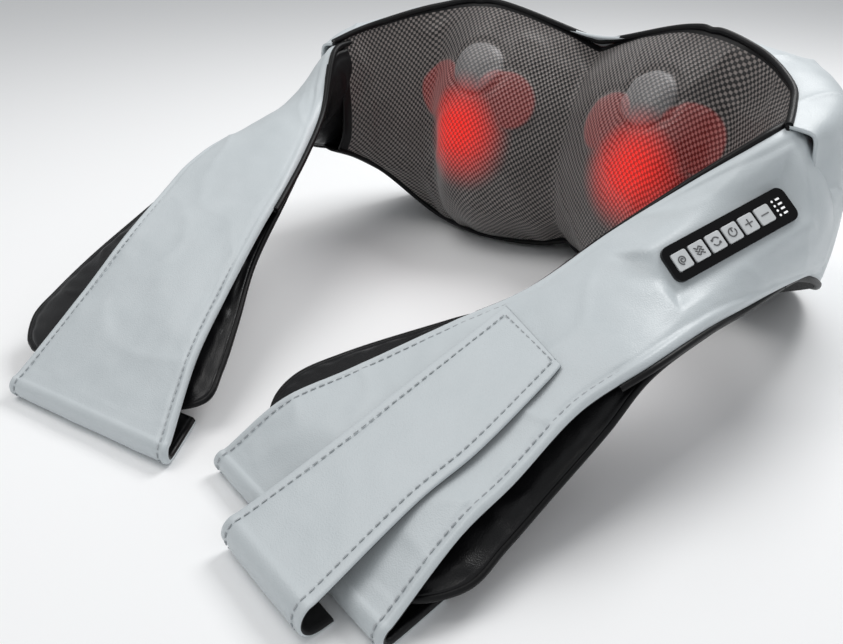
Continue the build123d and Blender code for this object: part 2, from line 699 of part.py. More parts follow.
# Closure strap on the right arm: sewn round the band's end, with a flap that peels up
arm = ARMS["right"]
plane, width = end_frame(arm, 1)
rise = (arm["band"][-1][0][2] + arm["band"][-1][1][2] + BAND) / 2
start = sum((Vector(e[0], e[1], 0) for e in arm["band"][-1]), Vector()) / 2
length = (plane.origin - start).dot(plane.x_dir) - 2
tip_place = Plane(origin=STRAP_TIP, x_dir=STRAP_END, z_dir=(0, 0, 1)).location
tip_cut = Box(200, 60, 300).moved(tip_place)
air = STRAP_LIFT - (BAND + STRAP) / 2
top = BAND_FOLD + air + STRAP
r = BAND_FOLD / 2

flap = strip(across_band(arm, STRAP_SPAN, STRAP), 1, lift=STRAP_LIFT) - tip_cut
side_view = [
    (-length - 2, rise + air), (-r, BAND_FOLD + air), (-FIT, BAND_FOLD + air),
    (-FIT, top), (-r, top), (-length - 2, rise + air + STRAP * 1.1),
]
tail = extrude(plane * make_face(Polyline(*side_view, close=True)), 200, both=True)
save(flap + trimmed(tail, arm, 1, *STRAP_SPAN[-1]), "strap_flap")

reach = STRAP_AHEAD
loop = [
    Line((FIT, top), (reach, top)),
    ThreePointArc((reach, top), (reach + top / 2, top / 2), (reach, 0)),
    Line((reach, 0), (FIT, 0)),
    Line((FIT, 0), (FIT, STRAP)),
    Line((FIT, STRAP), (reach, STRAP)),
    ThreePointArc((reach, STRAP), (reach + top / 2 - STRAP, top / 2), (reach, top - STRAP)),
    Line((reach, top - STRAP), (FIT, top - STRAP)),
    Line((FIT, top - STRAP), (FIT, top)),
]
fold = extrude(plane * make_face([e.edge() for e in loop]), 200, both=True)
save(trimmed(fold, arm, 1, *STRAP_SPAN[-1]), "strap_fold")

inset = [(low + PATCH_INSET, high - PATCH_INSET) for low, high in STRAP_SPAN]
keep = Box(200, 50, 300).moved(tip_place).moved(Location((-25, -58, 0)))
patch_stations = across_band(arm, inset, STRAP_PATCH)
loop_lift = (BAND + STRAP_PATCH) / 2 + FIT
hook_lift = STRAP_LIFT - (STRAP + STRAP_PATCH) / 2 - FIT
loop_patch = strip(patch_stations, 1, lift=loop_lift)
hook_patch = strip(patch_stations, 1, lift=hook_lift)
save(loop_patch & keep, "strap_loop_patch")
save(hook_patch & keep, "strap_hook_patch")
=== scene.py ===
import json
import math
import bpy
import numpy as np
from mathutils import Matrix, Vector, noise


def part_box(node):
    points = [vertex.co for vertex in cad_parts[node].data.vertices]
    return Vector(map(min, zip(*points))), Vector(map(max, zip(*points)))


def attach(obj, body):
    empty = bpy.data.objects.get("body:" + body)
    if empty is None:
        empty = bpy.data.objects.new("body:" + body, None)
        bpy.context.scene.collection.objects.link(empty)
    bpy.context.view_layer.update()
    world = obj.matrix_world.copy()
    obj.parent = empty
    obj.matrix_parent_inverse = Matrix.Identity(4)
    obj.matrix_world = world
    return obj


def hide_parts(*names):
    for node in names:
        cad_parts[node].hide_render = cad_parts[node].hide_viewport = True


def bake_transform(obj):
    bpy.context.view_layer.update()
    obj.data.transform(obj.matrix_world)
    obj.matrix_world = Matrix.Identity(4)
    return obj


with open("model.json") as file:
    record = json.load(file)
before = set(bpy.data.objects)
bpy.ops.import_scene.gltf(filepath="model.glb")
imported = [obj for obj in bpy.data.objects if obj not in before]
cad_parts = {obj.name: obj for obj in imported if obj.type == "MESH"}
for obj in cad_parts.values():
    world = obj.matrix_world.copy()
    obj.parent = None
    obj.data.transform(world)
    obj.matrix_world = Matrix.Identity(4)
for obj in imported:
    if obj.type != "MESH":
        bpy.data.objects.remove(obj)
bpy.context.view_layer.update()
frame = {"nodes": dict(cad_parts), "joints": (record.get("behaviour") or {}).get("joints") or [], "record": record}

MM = 0.001

# ---------------------------------------------------------------- camera, lights and world
CAMERA_AT = (0.2982, -0.6297, 0.2971)
CAMERA_TO = (-0.0086, -0.2549, 0.0130)
CAMERA_LENS = 34.4
SENSOR = 36.0
WORLD_COLOUR = (0.93, 0.95, 0.97, 1)
WORLD_STRENGTH = 0.47


def link(obj):
    """Puts an object in the scene."""
    bpy.context.scene.collection.objects.link(obj)
    return obj


def aim(obj, at, to):
    """Places a lamp or camera at one point, looking at another."""
    obj.location = at
    obj.rotation_euler = (Vector(to) - Vector(at)).to_track_quat("-Z", "Y").to_euler()


camera = link(bpy.data.objects.new("camera", bpy.data.cameras.new("camera")))
camera.data.lens = CAMERA_LENS
camera.data.sensor_width = SENSOR
camera.data.clip_start = 0.01
aim(camera, CAMERA_AT, CAMERA_TO)
bpy.context.scene.camera = camera

# name, place, aim, size, power, colour
LIGHTS = [
    ("key", (-0.35, -0.55, 1.15), (0.02, -0.22, 0.05), 0.7, 4.6, (1.0, 0.985, 0.97)),
    ("fill", (1.0, -0.9, 0.6), (0.05, -0.25, 0.05), 0.9, 1.0, (0.95, 0.98, 1.0)),
    ("rim", (0.1, 0.42, 0.95), (0.0, -0.08, 0.14), 0.5, 6.5, (1.0, 1.0, 1.0)),
]
for name, at, to, size, power, colour in LIGHTS:
    lamp = bpy.data.lights.new(name, "AREA")
    lamp.size = size
    lamp.energy = power
    lamp.color = colour
    aim(link(bpy.data.objects.new(name, lamp)), at, to)
world = bpy.data.worlds.new("studio")
world.use_nodes = True
sky = world.node_tree.nodes["Background"]
sky.inputs["Color"].default_value = WORLD_COLOUR
sky.inputs["Strength"].default_value = WORLD_STRENGTH
bpy.context.scene.world = world
bpy.context.scene.view_settings.view_transform = "Standard"


# ---------------------------------------------------------------- materials
MIX_A, MIX_B, MIX_OUT = 6, 7, 2  # a Mix node's two colours, and its mixed colour


def material(name):
    """A new material, with its node tree and its shader."""
    mat = bpy.data.materials.new(name)
    mat.use_nodes = True
    tree = mat.node_tree
    return mat, tree, tree.nodes["Principled BSDF"]


def node(tree, kind, **values):
    """Adds a node, setting properties by name and inputs by index (i0=...) or name."""
    made = tree.nodes.new("ShaderNode" + kind)
    for key, value in values.items():
        if key[0] == "i" and key[1:].isdigit():
            made.inputs[int(key[1:])].default_value = value
        elif hasattr(made, key):
            setattr(made, key, value)
        else:
            made.inputs[key].default_value = value
    return made


def wire(tree, source, target, out=0, into=0):
    """Links an output to an input, each by index or name."""
    tree.links.new(source.outputs[out], target.inputs[into])
    return target


def ramp(tree, source, low, high, out=0):
    """Mixes two colours by a 0..1 value."""
    mix = node(tree, "Mix", data_type="RGBA")
    mix.inputs[MIX_A].default_value = (*low, 1)
    mix.inputs[MIX_B].default_value = (*high, 1)
    wire(tree, source, mix, out, 0)
    return mix


def bump(tree, shader, heights, distance):
    """Chains bump nodes: heights are (node, output, strength)."""
    last = None
    for source, out, strength in heights:
        made = node(tree, "Bump", Strength=strength, Distance=distance)
        wire(tree, source, made, out, "Height")
        if last:
            wire(tree, last, made, 0, "Normal")
        last = made
    wire(tree, last, shader, 0, "Normal")


def leather(name, dark, light, rough, grain=1400.0, strength=0.25, shine=0.5):
    """Coated leather cloth: fine pebbled grain, soft creases and slow colour change."""
    mat, tree, shader = material(name)
    where = node(tree, "TexCoord")
    tone = node(tree, "TexNoise", Scale=28.0, Detail=4.0, Roughness=0.6)
    wire(tree, where, tone, "Object", "Vector")
    mixed = ramp(tree, tone, dark, light)
    wire(tree, mixed, shader, MIX_OUT, "Base Color")
    pebbles = node(tree, "TexVoronoi", feature="SMOOTH_F1", Scale=grain, Smoothness=0.6)
    wire(tree, where, pebbles, "Object", "Vector")
    creases = node(tree, "TexNoise", Scale=120.0, Detail=5.0, Roughness=0.65, Distortion=0.6)
    wire(tree, where, creases, "Object", "Vector")
    bump(tree, shader, [(pebbles, 0, strength), (creases, 0, strength * 0.9)], 0.0004)
    spread = node(tree, "MapRange", i1=0.3, i2=0.7, i3=rough - 0.05, i4=rough + 0.07)
    wire(tree, tone, spread)
    wire(tree, spread, shader, 0, "Roughness")
    shader.inputs["Specular IOR Level"].default_value = shine
    return mat


def moulded(name, colour, rough, metal=0.0, scale=900.0, strength=0.12, glow=None, power=0.0,
            shine=0.5):
    """Moulded plastic or machined metal with fine texture and slight colour change."""
    mat, tree, shader = material(name)
    where = node(tree, "TexCoord")
    tone = node(tree, "TexNoise", Scale=60.0, Detail=3.0)
    wire(tree, where, tone, "Object", "Vector")
    darker = [c * 0.88 for c in colour]
    lighter = [min(1, c * 1.1) for c in colour]
    mixed = ramp(tree, tone, darker, lighter)
    wire(tree, mixed, shader, MIX_OUT, "Base Color")
    fine = node(tree, "TexNoise", Scale=scale, Detail=2.0)
    wire(tree, where, fine, "Object", "Vector")
    bump(tree, shader, [(fine, 0, strength)], 0.0002)
    shader.inputs["Roughness"].default_value = rough
    shader.inputs["Metallic"].default_value = metal
    shader.inputs["Specular IOR Level"].default_value = shine
    if glow:
        shader.inputs["Emission Color"].default_value = (*glow, 1)
        shader.inputs["Emission Strength"].default_value = power
    return mat


def woven(name, colour, rough=0.85, pitch=900.0):
    """Plain woven cloth."""
    mat, tree, shader = material(name)
    where = node(tree, "TexCoord")
    across = node(tree, "TexWave", bands_direction="X", Scale=pitch, Distortion=0.3)
    down = node(tree, "TexWave", bands_direction="Y", Scale=pitch, Distortion=0.3)
    for wave in (across, down):
        wire(tree, where, wave, "Object", "Vector")
    both = node(tree, "Math", operation="MULTIPLY")
    wire(tree, across, both, 1, 0)
    wire(tree, down, both, 1, 1)
    mixed = ramp(tree, both, [c * 0.7 for c in colour], [c * 1.3 for c in colour])
    wire(tree, mixed, shader, MIX_OUT, "Base Color")
    bump(tree, shader, [(both, 0, 0.4)], 0.0003)
    shader.inputs["Roughness"].default_value = rough
    return mat


# The massage heads show through the mesh, in the drive's tilted plane, and the red glow of their lamps is painted
# on the mesh there as emission and a red tint.
# Places in that plane are (distance from the middle, distance up), in metres.
TILT = math.radians(35)
UP_FACE = (0.0, math.sin(TILT), math.cos(TILT))
DISCS = ((0.043, 0.044), (0.106, 0.044))
DOME = (0.071, 0.062)
# centre of the painted pool of red lamp glow
PAINTED_GLOW_CENTRE = (0.074, 0.014)
DISC_LIGHT = 0.16
DOME_PALENESS = 0.22
THREAD_LIGHT = 0.35
RED_POWER = 0.85
HOLE_PITCH = 0.0037
HOLE_STRETCH = 1.25


def spot(tree, place, centre, inner, outer):
    """1 inside a disc of the drive's plane, 0 outside it, soft between the radii."""
    gap = node(tree, "VectorMath", operation="DISTANCE")
    wire(tree, place, gap, 0, 0)
    gap.inputs[1].default_value = (centre[0], centre[1], 0)
    fade = node(tree, "MapRange", interpolation_type="SMOOTHSTEP",
                i1=inner, i2=outer, i3=1.0, i4=0.0)
    wire(tree, gap, fade, 1, 0)
    return fade


def combine(tree, operation, items):
    """Chains one operation over several values."""
    last = items[0]
    for item in items[1:]:
        made = node(tree, "Math", operation=operation)
        wire(tree, last, made, 0, 0)
        wire(tree, item, made, 0, 1)
        last = made
    return last


def net():
    """Spacer mesh: staggered round holes in shiny dark threads, with the red glow of the heads' lamps painted on
    over the heads as emission and a red tint.
    """
    mat, tree, shader = material("spacer_mesh")
    weave = node(tree, "UVMap", uv_map="weave")
    split = node(tree, "SeparateXYZ")
    wire(tree, weave, split)
    waves = []
    for axis, pitch in ((0, HOLE_PITCH), (1, HOLE_PITCH * HOLE_STRETCH)):
        turn = node(tree, "Math", operation="MULTIPLY", i1=2 * math.pi / pitch)
        wire(tree, split, turn, axis, 0)
        wave = node(tree, "Math", operation="COSINE")
        wire(tree, turn, wave)
        waves.append(wave)
    lattice = combine(tree, "MULTIPLY", waves)
    hole = node(tree, "MapRange", interpolation_type="SMOOTHSTEP",
                i1=-0.42, i2=0.22, i3=0.0, i4=1.0)
    wire(tree, lattice, hole)
    where = node(tree, "TexCoord")
    tone = node(tree, "TexNoise", Scale=35.0, Detail=3.0)
    wire(tree, where, tone, "Object", "Vector")
    thread = ramp(tree, tone, (0.17, 0.142, 0.132), (0.30, 0.265, 0.25))
    # The holes are painted near-black: the dark cloth beneath them, with painted shade in their hollows
    threads_and_shaded_holes = node(tree, "Mix", data_type="RGBA")
    wire(tree, hole, threads_and_shaded_holes, 0, 0)
    wire(tree, thread, threads_and_shaded_holes, MIX_OUT, MIX_A)
    threads_and_shaded_holes.inputs[MIX_B].default_value = (0.004, 0.003, 0.003, 1)
    # place in the drive's plane, folded so that both lobes are alike
    side = node(tree, "SeparateXYZ")
    wire(tree, where, side, "Object", 0)
    along = node(tree, "VectorMath", operation="DOT_PRODUCT")
    wire(tree, where, along, "Object", 0)
    along.inputs[1].default_value = UP_FACE
    fold = node(tree, "Math", operation="ABSOLUTE")
    wire(tree, side, fold, 0, 0)
    place = node(tree, "CombineXYZ")
    wire(tree, fold, place, 0, 0)
    wire(tree, along, place, 1, 1)
    # painted light: the red glow of the heads' lamps, as red discs and a soft pool between them, goes into the
    # mesh's emission
    discs = [spot(tree, place, disc, 0.0195, 0.0225) for disc in DISCS]
    painted_glow = spot(tree, place, PAINTED_GLOW_CENTRE, 0.004, 0.044)
    dome = spot(tree, place, DOME, 0.018, 0.0205)
    red = combine(tree, "MAXIMUM", discs)
    dim = node(tree, "Math", operation="MULTIPLY", i1=DISC_LIGHT)
    wire(tree, red, dim)
    lit = combine(tree, "MAXIMUM", [dim, painted_glow])
    web = node(tree, "MapRange", i1=0.0, i2=1.0, i3=1.0, i4=THREAD_LIGHT)
    wire(tree, hole, web)
    power = combine(tree, "MULTIPLY", [lit, web])
    grey = node(tree, "Math", operation="MULTIPLY", i1=DOME_PALENESS)
    wire(tree, dome, grey)
    paler = node(tree, "Mix", data_type="RGBA")
    wire(tree, grey, paler, 0, 0)
    wire(tree, threads_and_shaded_holes, paler, MIX_OUT, MIX_A)
    paler.inputs[MIX_B].default_value = (0.55, 0.55, 0.56, 1)
    # painted light: the mesh's colour is tinted red where the lamp glow is painted
    painted_red_light = node(tree, "Mix", data_type="RGBA")
    wire(tree, lit, painted_red_light, 0, 0)
    wire(tree, paler, painted_red_light, MIX_OUT, MIX_A)
    painted_red_light.inputs[MIX_B].default_value = (0.30, 0.006, 0.004, 1)
    wire(tree, painted_red_light, shader, MIX_OUT, "Base Color")
    shader.inputs["Emission Color"].default_value = (1.0, 0.018, 0.008, 1)
    strong = node(tree, "Math", operation="MULTIPLY", i1=RED_POWER)
    wire(tree, power, strong)
    wire(tree, strong, shader, 0, "Emission Strength")
    up = node(tree, "Math", operation="SUBTRACT", i0=1.0)
    wire(tree, hole, up, 0, 1)
    bump(tree, shader, [(up, 0, 0.9)], 0.0008)
    shader.inputs["Roughness"].default_value = 0.42
    shader.inputs["Sheen Weight"].default_value = 0.25
    return mat


GREY = leather("grey_pu", (0.50, 0.545, 0.565), (0.585, 0.625, 0.645), 0.4)
BLACK = leather("black_pu", (0.0035, 0.0035, 0.004), (0.007, 0.007, 0.008), 0.34, shine=0.28)
PIPING = leather("piping_pu", (0.003, 0.003, 0.0035), (0.006, 0.006, 0.0065), 0.4,
                 strength=0.15, shine=0.2)
THREAD = woven("grey_thread", (0.52, 0.55, 0.57), 0.6, 2500.0)
NET = net()
CLOTH = woven("black_cloth", (0.016, 0.016, 0.017))
# Painted shade: the embossed icons are light like the buttons, and are painted dark grey in place of the shade
# along their raised edges
ICON_PAINTED_SHADE = moulded("icon_painted_shade", (0.10, 0.10, 0.105), 0.45)
# Finish of each material slot in the record, for the CAD nodes that stay
SLOTS = {
    "black_fabric": CLOTH,
    "foam": moulded("foam", (0.75, 0.72, 0.6), 0.95, scale=500.0, strength=0.8),
    "black_abs": moulded("black_abs", (0.02, 0.02, 0.021), 0.5, strength=0.3),
    "gloss_black": moulded("gloss_black", (0.003, 0.003, 0.0035), 0.2, strength=0.02,
                           shine=0.18),
    "button_grey": moulded("button_grey", (0.60, 0.62, 0.63), 0.32, strength=0.08),
    "node_grey": moulded("node_grey", (0.30, 0.30, 0.31), 0.4),
    "node_red": moulded("node_red", (0.55, 0.02, 0.015), 0.3, glow=(1, 0.03, 0.01), power=0.8),
    "lamp_red": moulded("lamp_red", (0.8, 0.03, 0.02), 0.3, glow=(1, 0.03, 0.01), power=3.0),
    "light_white": moulded("light_white", (0.85, 0.87, 0.88), 0.25, glow=(1, 1, 1), power=0.35),
    "steel": moulded("steel", (0.55, 0.55, 0.56), 0.3, metal=1.0),
    "copper_black": moulded("wound_iron", (0.16, 0.11, 0.08), 0.55, metal=0.6, strength=0.4),
    "brass": moulded("brass", (0.70, 0.50, 0.22), 0.3, metal=1.0),
    "nylon": moulded("nylon", (0.82, 0.80, 0.74), 0.5),
    "board_green": moulded("board_green", (0.015, 0.16, 0.07), 0.4),
}
for row in frame["record"]["subparts"]:
    finish = SLOTS.get(row["material_slot"])
    if finish:
        held = frame["nodes"][row["node"]].data.materials
        for k in range(max(1, len(held))):
            if len(held) > k:
                held[k] = finish
            else:
                held.append(finish)


# ---------------------------------------------------------------- mesh helpers
def smooth(rows, count, power=0.5):
    """Curve through rows of numbers, sampled at count places."""
    rows = np.asarray(rows, float)
    flat = rows.reshape(len(rows), -1)
    step = np.linalg.norm(np.diff(flat, axis=0), axis=1) ** power
    knots = np.concatenate([[0], np.cumsum(step)])
    slope = np.gradient(flat, knots, axis=0)
    t = np.linspace(0, knots[-1], count)
    i = np.clip(np.searchsorted(knots, t, side="right") - 1, 0, len(knots) - 2)
    h = (knots[i + 1] - knots[i])[:, None]
    s = (t - knots[i])[:, None] / h
    a = (1 + 2 * s) * (1 - s) ** 2
    b = s * (1 - s) ** 2
    c = s * s * (3 - 2 * s)
    d = s * s * (s - 1)
    made = a * flat[i] + b * h * slope[i] + c * flat[i + 1] + d * h * slope[i + 1]
    return made.reshape((count,) + rows.shape[1:])


def normals(grid):
    """Unit normals of a grid of points."""
    du = np.gradient(grid, axis=0)
    dv = np.gradient(grid, axis=1)
    made = np.cross(du, dv)
    size = np.linalg.norm(made, axis=2, keepdims=True)
    return made / np.maximum(size, 1e-12)


def lengths(grid):
    """Distance along each axis of a grid of points, as flat cloth coordinates."""
    u = np.zeros(grid.shape[:2])
    v = np.zeros(grid.shape[:2])
    u[1:] = np.cumsum(np.linalg.norm(np.diff(grid, axis=0), axis=2), axis=0)
    v[:, 1:] = np.cumsum(np.linalg.norm(np.diff(grid, axis=1), axis=2), axis=1)
    middle = grid.shape[1] // 3
    u = np.repeat(u[:, middle:middle + 1], grid.shape[1], axis=1)
    return u, v


def mesh_object(name, points, faces, materials, picks=None, uvs=None):
    """A smooth-shaded object from points and faces; picks choose each face's material."""
    data = bpy.data.meshes.new(name)
    data.from_pydata([tuple(p) for p in points], [], faces)
    for mat in materials:
        data.materials.append(mat)
    data.polygons.foreach_set("use_smooth", [True] * len(data.polygons))
    if picks is not None:
        data.polygons.foreach_set("material_index", picks)
    if uvs is not None:
        layer = data.uv_layers.new(name="weave")
        index = np.zeros(len(data.loops), int)
        data.loops.foreach_get("vertex_index", index)
        layer.data.foreach_set("uv", np.asarray(uvs, float)[index].ravel())
    data.validate()
    data.update()
    return link(bpy.data.objects.new(name, data))


def quads(nu, nv, start=0, flip=False, ring=False):
    """Faces of a grid of points; a ring's last column joins its first."""
    made = []
    for i in range(nu - 1):
        for j in range(nv if ring else nv - 1):
            k = (j + 1) % nv
            face = (i * nv + j, i * nv + k, (i + 1) * nv + k, (i + 1) * nv + j)
            face = tuple(start + f for f in face)
            made.append(face[::-1] if flip else face)
    return made


def shell(name, outer, thick, out_sign, materials, pick=None):
    """A sheet of cloth or padding: its outer face, its inner face and the rim."""
    nu, nv = outer.shape[:2]
    facing = normals(outer) * out_sign
    inner = outer - facing * thick
    points = np.concatenate([outer.reshape(-1, 3), inner.reshape(-1, 3)])
    total = nu * nv
    flip = out_sign < 0
    faces = quads(nu, nv, 0, flip) + quads(nu, nv, total, not flip)
    picks = []
    for i in range(nu - 1):
        for j in range(nv - 1):
            picks.append(pick(i, j) if pick else 0)
    picks = picks + picks
    rim = [i * nv for i in range(nu)]
    rim += [(nu - 1) * nv + j for j in range(1, nv)]
    rim += [i * nv + nv - 1 for i in range(nu - 2, -1, -1)]
    rim += [j for j in range(nv - 2, 0, -1)]
    for a, b in zip(rim, rim[1:] + rim[:1]):
        face = (a, b, total + b, total + a)
        faces.append(face[::-1] if flip else face)
        picks.append(pick(min(a // nv, nu - 2), min(a % nv, nv - 2)) if pick else 0)
    u, v = lengths(outer)
    uv = np.stack([u.ravel(), v.ravel()], 1)
    return mesh_object(name, points, faces, materials, picks, np.concatenate([uv, uv]))


def tube(name, rings, materials, pick=None, outward=1):
    """A closed skin over rings of points, with its ends closed."""
    nu, nv = rings.shape[:2]
    points = list(rings.reshape(-1, 3)) + [rings[0].mean(0), rings[-1].mean(0)]
    faces = quads(nu, nv, 0, outward < 0, ring=True)
    picks = [pick(i, j) if pick else 0 for i in range(nu - 1) for j in range(nv)]
    first_cap = (nu * nv, 0, outward > 0)
    last_cap = (nu * nv + 1, (nu - 1) * nv, outward < 0)
    for centre, base, turn in (first_cap, last_cap):
        for j in range(nv):
            face = (centre, base + j, base + (j + 1) % nv)
            faces.append(face[::-1] if not turn else face)
            picks.append(pick(0 if base == 0 else nu - 2, j) if pick else 0)
    return mesh_object(name, points, faces, materials, picks)


def sweep(name, path, radius, mat, sides=10):
    """A round cord of cloth along a path of points."""
    path = np.asarray(path, float)
    ahead = np.gradient(path, axis=0)
    ahead /= np.maximum(np.linalg.norm(ahead, axis=1, keepdims=True), 1e-12)
    up = np.cross(ahead[0], (0.13, 0.29, 0.95))
    rings = []
    for p, a in zip(path, ahead):
        up = up - a * np.dot(up, a)
        up /= np.linalg.norm(up)
        side = np.cross(a, up)
        turn = np.linspace(0, 2 * np.pi, sides, endpoint=False)[:, None]
        rings.append(p + radius * (np.cos(turn) * up + np.sin(turn) * side))
    return tube(name, np.array(rings), [mat])


def spaced(path, gap):
    """Points every gap along a path, with their directions."""
    path = np.asarray(path, float)
    step = np.linalg.norm(np.diff(path, axis=0), axis=1)
    reach = np.concatenate([[0], np.cumsum(step)])
    at = np.arange(gap / 2, reach[-1], gap)
    here = np.stack([np.interp(at, reach, path[:, k]) for k in range(3)], 1)
    on = np.stack([np.interp(at + gap * 0.2, reach, path[:, k]) for k in range(3)], 1)
    ahead = on - here
    ahead /= np.maximum(np.linalg.norm(ahead, axis=1, keepdims=True), 1e-12)
    return here, ahead


STITCH = 3.4 * MM
STITCH_GAP = 5.0 * MM
STITCH_R = 0.42 * MM


def stitches(name, paths, mat):
    """Rows of thread stitches, each a small rounded bar."""
    points = []
    faces = []
    rings = [(-0.5, 0.35), (-0.38, 0.9), (0.0, 1.0), (0.38, 0.9), (0.5, 0.35)]
    sides = 6
    for path in paths:
        for here, ahead in zip(*spaced(path, STITCH_GAP)):
            up = np.cross(ahead, (0.21, 0.37, 0.9))
            up /= np.linalg.norm(up)
            side = np.cross(ahead, up)
            start = len(points)
            for reach, fat in rings:
                for k in range(sides):
                    a = 2 * math.pi * k / sides
                    off = (math.cos(a) * up + math.sin(a) * side) * STITCH_R * fat
                    points.append(here + ahead * reach * STITCH + off)
            faces += quads(len(rings), sides, start, False, ring=True)
            faces.append(tuple(start + k for k in range(sides)))
            last = start + (len(rings) - 1) * sides
            faces.append(tuple(last + k for k in range(sides))[::-1])
    return mesh_object(name, points, faces, [mat])


def wavy(p, scale, seed):
    """Smooth noise at a point, about -1 to 1."""
    return noise.noise(Vector((p[0] * scale + seed, p[1] * scale, p[2] * scale)))


def creased(p, scale, seed):
    """Sharp soft-cloth creases, 0 to 1."""
    return 1 - min(1.0, abs(wavy(p, scale, seed)) * 3.2)


# ---------------------------------------------------------------- neck section
# x, y, turn, belly, back, top_front, top, low: the cushion's sections, in millimetres
NECK = [
    (0, -40, 0, 74, 68, 14, 176, 5),
    (84, -40, 0, 93, 68, 34, 194, 5),
    (146, -62, 34, 58, 55, 30, 188, 10),
    (178, -112, 66, 34, 29, 16, 176, 50),
    (184, -136, 76, 25, 22, 13, 171, 66),
    (187, -159, 84, 19, 13, 10, 165, 77),
]
NECK_ROWS = [(-s[0], s[1], -s[2]) + s[3:] for s in reversed(NECK[1:])] + NECK
ALONG = 260  # points along the cushion
DOWN = 90  # points from its ridge to its foot
MIDDLE = (ALONG // 2, DOWN // 2)
MESH_THICK = 1.6 * MM
COVER_THICK = 2.0 * MM


def section(row):
    """Front and rear lines of one section, from the ridge down, in metres."""
    x, y, turn, belly, back, top_front, top, low = row
    tall = top - low
    # the back falls away behind the two humps, and stays full at the corners
    fall = 0.03 + 0.15 * min(1.0, max(0.0, (165 - abs(x)) / 60))
    front = [
        (-top_front, top),
        (-0.5 * belly - 0.3 * top_front, low + 0.88 * tall),
        (-0.86 * belly, low + 0.68 * tall),
        (-belly, low + 0.44 * tall),
        (-0.9 * belly, low + 0.18 * tall),
        (-0.55 * belly, low),
    ]
    rear = [
        (-top_front, top),
        (0.38 * back, top - fall * tall),
        (0.82 * back, low + 0.76 * tall),
        (back, low + 0.34 * tall),
        (0.93 * back, low),
    ]
    a = math.radians(turn)
    made = []
    for line in (front, rear):
        dense = smooth(line, DOWN, 1.0)
        out = dense[:, 0:1]
        flat = np.array([x, y]) + out * np.array([math.sin(a), math.cos(a)])
        made.append(np.concatenate([flat, dense[:, 1:2]], 1) * MM)
    return made


front_rows = []
rear_rows = []
for row in NECK_ROWS:
    front_line, rear_line = section(row)
    front_rows.append(front_line)
    rear_rows.append(rear_line)
front = smooth(front_rows, ALONG)
rear = smooth(rear_rows, ALONG)

HEADS = [(side * 0.074, -0.118, 0.128) for side in (-1, 1)]
# in the drive's plane: across, up, radius, height
KNOBS = [(*disc, 0.022, 2.4 * MM) for disc in DISCS] + [(*DOME, 0.019, 5.5 * MM)]


def push(p, centre, reach, height):
    """A soft round swelling about a centre."""
    gap = np.linalg.norm(p - np.array(centre), axis=-1)
    return height * np.exp(-(gap / reach) ** 2)


def outward_sign(grid, facing):
    """1 where a grid's own normals agree with facing at its middle, else -1."""
    return 1 if np.sum(normals(grid)[MIDDLE] * facing[MIDDLE]) > 0 else -1


def front_shape(grid):
    """Moves the mesh face out over the heads, and in at its seams and gathers."""
    facing = normals(grid)
    facing *= -np.sign(facing[MIDDLE][1])
    move = np.zeros(grid.shape[:2])
    for head in HEADS:
        move += push(grid, head, 0.045, 4.0 * MM)
    x = grid[..., 0]
    rise = grid @ np.array(UP_FACE)
    for across, up, radius, height in KNOBS:
        gap = np.hypot(np.abs(x) - across, rise - up) / radius
        moat = 0.25 * height * np.exp(-((gap - 1.12) / 0.12) ** 2)
        knob = height * np.sqrt(np.clip(1 - gap ** 2, 0, 1)) - moat
        move = np.maximum(move, move + knob)
        move -= moat
    # the middle seam draws in, and pulls folds towards it
    move -= 9.0 * MM * np.exp(-(np.abs(x) / 0.013) ** 1.3)
    move -= 3.0 * MM * np.exp(-(x / 0.035) ** 2)
    for i in range(grid.shape[0]):
        s = i / (grid.shape[0] - 1)
        end = min(s, 1 - s)
        for j in range(grid.shape[1]):
            p = grid[i, j]
            v = j / (grid.shape[1] - 1)
            soft = 1.3 * MM * wavy(p, 26, 3.1) + 0.7 * MM * wavy(p, 60, 8.2)
            gather = math.exp(-(end / 0.16) ** 2)
            pleat = math.sin(p[0] * 310 + 3.0 * math.sin(p[2] * 30)) * gather * 1.1 * MM
            low = math.exp(-((1 - v) / 0.2) ** 2)
            hem = math.sin(p[0] * 190 + 2 * math.sin(p[0] * 60)) * low * 1.4 * MM
            fold = creased(p, 22, 5.5) ** 3 * 1.2 * MM
            edge = min(1.0, v / 0.05, (1 - v) / 0.05, end / 0.012)
            move[i, j] += (soft + pleat + hem + fold) * max(edge, 0.0)
    return grid + facing * move[..., None], facing


front, front_facing = front_shape(front)
front_sign = outward_sign(front, front_facing)
# rows of the mesh face bound in black: at its ends, its ridge and its foot
END_TRIM = 7
TOP_TRIM = 2
FOOT_TRIM = 4


def front_pick(i, j):
    """The mesh's own material, or its black binding at the edges."""
    ends = i < END_TRIM or i >= ALONG - 1 - END_TRIM
    return 1 if ends or j < TOP_TRIM or j > DOWN - FOOT_TRIM else 0


mesh_face = shell("neck_mesh_face", front, MESH_THICK, front_sign, [NET, PIPING], front_pick)
REAR_SEAM_X = 0.100
HEM_SEAM_Z = 0.030


